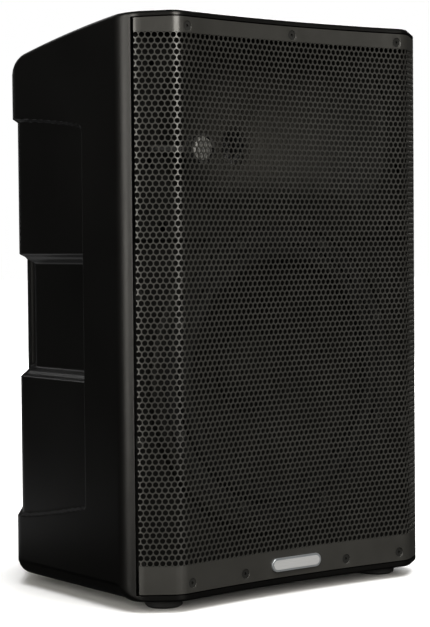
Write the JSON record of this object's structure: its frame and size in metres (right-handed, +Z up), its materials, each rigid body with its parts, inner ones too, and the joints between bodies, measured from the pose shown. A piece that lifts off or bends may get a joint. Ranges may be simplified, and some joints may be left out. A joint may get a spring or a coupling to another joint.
{
  "type": "pa speaker cabinet",
  "caption": "Compact two-way powered loudspeaker cabinet with a bowed perforated grille, side hand pockets, a wide horn, a round woofer and a recessed control panel.",
  "frame": {"origin": "under the middle of the cabinet's bounding box, on the plane its feet stand on", "axes": "+Z up, front with the grille faces -Y, control panel faces +Y, +X to the right seen from behind"},
  "size_m": [0.284, 0.2691, 0.425],
  "materials": {
    "cabinet_plastic": "fine moulded texture, dark charcoal, satin",
    "baffle_plastic": "moulded, dark charcoal",
    "horn_plastic": "smooth satin, dark charcoal",
    "trim_plastic": "satin ring",
    "grille_paint": "powder coated perforated steel, charcoal",
    "black_screw": "blackened steel",
    "bright_steel": "plated steel",
    "badge_metal": "plain brushed nameplate, no lettering",
    "indicator_black": "moulded",
    "lens_clear": "milky light window",
    "circuit_board": "green lacquered board",
    "driver_iron": "black enamelled iron",
    "phase_alloy": "machined",
    "diaphragm_metal": "thin formed sheet",
    "driver_cover": "moulded cap",
    "basket_steel": "black powder coat",
    "surround_cloth": "half roll, matt",
    "cone_paper": "pressed paper pulp, black",
    "cap_paper": "pressed paper cap, black",
    "coil_wire": "copper winding on an amber former",
    "spider_cloth": "corrugated resin treated cloth",
    "plate_steel": "plated pole piece",
    "ferrite": "sintered ferrite ring",
    "terminal_brass": "tinned tabs",
    "port_plastic": "moulded tube",
    "damping_wadding": "grey polyester wadding",
    "panel_paint": "fine textured powder coat, near black",
    "heat_sink_metal": "black anodised",
    "standoff_brass": "hexagonal spacers, shown round",
    "transformer_core": "ferrite core and yellow tape",
    "capacitor_sleeve": "dark blue sleeve",
    "socket_plastic": "glass filled nylon, black",
    "latch_metal": "pressed tab",
    "pin_metal": "plated contact pins",
    "knob_rubber": "soft touch, dark grey",
    "button_grey": "light grey key",
    "lamp_green": "green light pipe",
    "rocker_red": "dark red rocker",
    "cup_plastic": "moulded cup",
    "foot_rubber": "soft rubber",
    "insert_brass": "knurled threaded insert, shown plain",
    "wire_insulation": "two-colour insulated leads"
  },
  "bodies": {
    "cabinet": {"enclosure": "cabinet_plastic", "front_baffle": "baffle_plastic", "baffle_screws": "black_screw", "grille": "grille_paint", "grille_screws": "black_screw", "badge": "badge_metal", "indicator_housing": "indicator_black", "indicator_lens": "lens_clear", "indicator_board": "circuit_board", "horn_waveguide": "horn_plastic", "horn_screws": "black_screw", "driver_body": "driver_iron", "driver_phase_plug": "phase_alloy", "driver_back_cover": "driver_cover", "driver_bolts": "bright_steel", "woofer_basket": "basket_steel", "woofer_trim_ring": "trim_plastic", "woofer_screws": "black_screw", "woofer_surround": "surround_cloth", "woofer_spider": "spider_cloth", "top_plate": "plate_steel", "woofer_magnet": "ferrite", "woofer_yoke": "plate_steel", "woofer_terminals": "terminal_brass", "port_tube": "port_plastic", "rear_panel": "panel_paint", "rear_panel_screws": "black_screw", "heat_sink": "heat_sink_metal", "main_board": "circuit_board", "board_standoffs": "standoff_brass", "transformer": "transformer_core", "capacitors": "capacitor_sleeve", "input_board": "circuit_board", "combo_jack_a": "socket_plastic", "combo_jack_b": "socket_plastic", "output_connector": "socket_plastic", "output_pins": "pin_metal", "aux_jack": "socket_plastic", "status_lights": "lamp_green", "mains_inlet": "socket_plastic", "inlet_blades": "pin_metal", "power_switch_frame": "socket_plastic", "pole_cup": "cup_plastic", "pole_cup_screws": "bright_steel", "feet": "foot_rubber", "foot_screws": "bright_steel", "rigging_inserts": "insert_brass", "damping_pads": "damping_wadding", "speaker_wires": "wire_insulation"},
    "cone_assembly": {"woofer_cone": "cone_paper", "woofer_dust_cap": "cap_paper", "voice_coil": "coil_wire"},
    "tweeter_diaphragm": {"driver_diaphragm": "diaphragm_metal"},
    "gain_a": {"gain_knob_a": "knob_rubber"},
    "gain_b": {"gain_knob_b": "knob_rubber"},
    "contour": {"contour_knob": "knob_rubber"},
    "mic_line_key": {"mic_line_button": "button_grey"},
    "latch_a": {"latch_tab_a": "latch_metal"},
    "latch_b": {"latch_tab_b": "latch_metal"},
    "rocker": {"power_rocker": "rocker_red"}
  },
  "joints": [
    {"name": "cone_excursion", "type": "slide", "parent": "cabinet", "child": "cone_assembly", "axis": [0, 1, 0], "range_m": [-0.005, 0.005], "stiffness_N_per_m": 2200, "deforming": ["woofer_surround", "woofer_spider"]},
    {"name": "diaphragm_excursion", "type": "slide", "parent": "cabinet", "child": "tweeter_diaphragm", "axis": [0, 1, 0], "range_m": [-0.0003, 0.0003], "stiffness_N_per_m": 3000},
    {"name": "gain_a_turn", "type": "hinge", "parent": "cabinet", "child": "gain_a", "pos_m": [0.028, 0.1175, 0.271], "axis": [0, 1, 0], "range_deg": [-150, 150]},
    {"name": "gain_b_turn", "type": "hinge", "parent": "cabinet", "child": "gain_b", "pos_m": [-0.028, 0.1175, 0.271], "axis": [0, 1, 0], "range_deg": [-150, 150]},
    {"name": "contour_turn", "type": "hinge", "parent": "cabinet", "child": "contour", "pos_m": [0, 0.1175, 0.2], "axis": [0, 1, 0], "range_deg": [-140, 140]},
    {"name": "mic_line_press", "type": "slide", "parent": "cabinet", "child": "mic_line_key", "axis": [0, -1, 0], "range_m": [0, 0.002], "stiffness_N_per_m": 400},
    {"name": "latch_a_press", "type": "slide", "parent": "cabinet", "child": "latch_a", "axis": [0, -1, 0], "range_m": [0, 0.0025], "stiffness_N_per_m": 600},
    {"name": "latch_b_press", "type": "slide", "parent": "cabinet", "child": "latch_b", "axis": [0, -1, 0], "range_m": [0, 0.0025], "stiffness_N_per_m": 600},
    {"name": "rocker_tip", "type": "hinge", "parent": "cabinet", "child": "rocker", "pos_m": [-0.024, 0.1115, 0.068], "axis": [1, 0, 0], "range_deg": [0, 16]}
  ]
}
